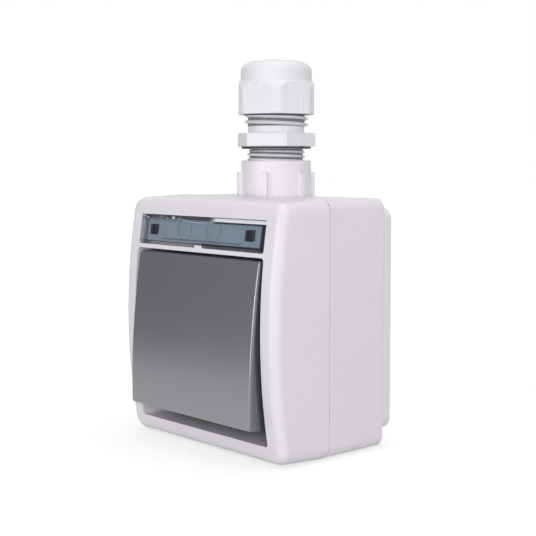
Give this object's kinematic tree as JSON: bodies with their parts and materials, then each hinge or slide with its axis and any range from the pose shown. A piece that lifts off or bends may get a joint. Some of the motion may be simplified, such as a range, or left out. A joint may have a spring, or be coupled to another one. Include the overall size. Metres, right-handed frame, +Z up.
{
  "type": "outdoor weatherproof switch",
  "caption": "Surface-mounted weatherproof rocker switch in a grey housing, with a label window above the rocker and a cable gland screwed into the top of the box.",
  "frame": {"origin": "on the wall face behind the middle of the rear box, which is where the switch meets the wall", "axes": "+X to the right seen from the front, the rocker faces -Y, the wall is towards +Y, +Z up towards the cable gland"},
  "size_m": [0.0794, 0.0564, 0.129],
  "materials": {
    "grey_housing": "satin moulded pale grey plastic",
    "grey_gland": "satin moulded pale grey nylon",
    "black_rubber": "matt black rubber",
    "smoked_window": "clear smoky blue-grey plastic",
    "label_card": "plain blue-grey card",
    "graphite_rocker": "graphite grey metallic lacquer on moulded plastic",
    "white_moulding": "plain white moulded plastic",
    "spring_steel": "bright spring wire",
    "base_moulding": "dark thermoset moulding",
    "contact_brass": "plain brass",
    "screw_steel": "zinc plated steel",
    "frame_steel": "galvanised sheet steel"
  },
  "bodies": {
    "housing": {"back_box": "grey_housing", "box_gasket": "black_rubber", "front_cover": "grey_housing", "label_window": "smoked_window", "label_card": "label_card", "switch_base": "base_moulding", "base_lid": "base_moulding", "upper_contact": "contact_brass", "lower_contact": "contact_brass", "common_contact": "contact_brass", "terminal_clamps": "contact_brass", "terminal_screws": "screw_steel", "support_frame": "frame_steel", "rocker_seal": "black_rubber", "frame_screws": "screw_steel"},
    "rocker": {"rocker_key": "graphite_rocker", "rocker_cradle": "white_moulding", "plunger_spring": "spring_steel"},
    "plunger_pin": {"plunger": "white_moulding"},
    "contact_lever": {"moving_contact": "contact_brass"},
    "gland": {"gland_body": "grey_gland", "gland_washer": "black_rubber", "gland_seal": "black_rubber"},
    "cap": {"gland_nut": "grey_gland"}
  },
  "joints": [
    {"name": "rocker_tilt", "type": "hinge", "parent": "housing", "child": "rocker", "pos_m": [0, -0.044, -0.0043], "axis": [1, 0, 0], "range_deg": [0, 9]},
    {"name": "plunger_travel", "type": "slide", "parent": "rocker", "child": "plunger_pin", "axis": [0, -0.9969, 0.0785], "range_m": [0, 0.001], "stiffness_N_per_m": 700, "springref_m": -0.001, "deforming": ["plunger_spring"]},
    {"name": "contact_tilt", "type": "hinge", "parent": "housing", "child": "contact_lever", "pos_m": [0, -0.0281, -0.0043], "axis": [1, 0, 0], "range_deg": [-8, 0]},
    {"name": "gland_turn", "type": "hinge", "parent": "housing", "child": "gland", "pos_m": [0, -0.017, 0.05], "axis": [0, 0, 1], "continuous": true},
    {"name": "cap_turn", "type": "hinge", "parent": "gland", "child": "cap", "pos_m": [0, -0.017, 0.075], "axis": [0, 0, 1], "continuous": true}
  ],
  "couplings": [
    {"joint": "contact_tilt", "follows": "rocker_tilt", "ratio": -0.88889}
  ]
}
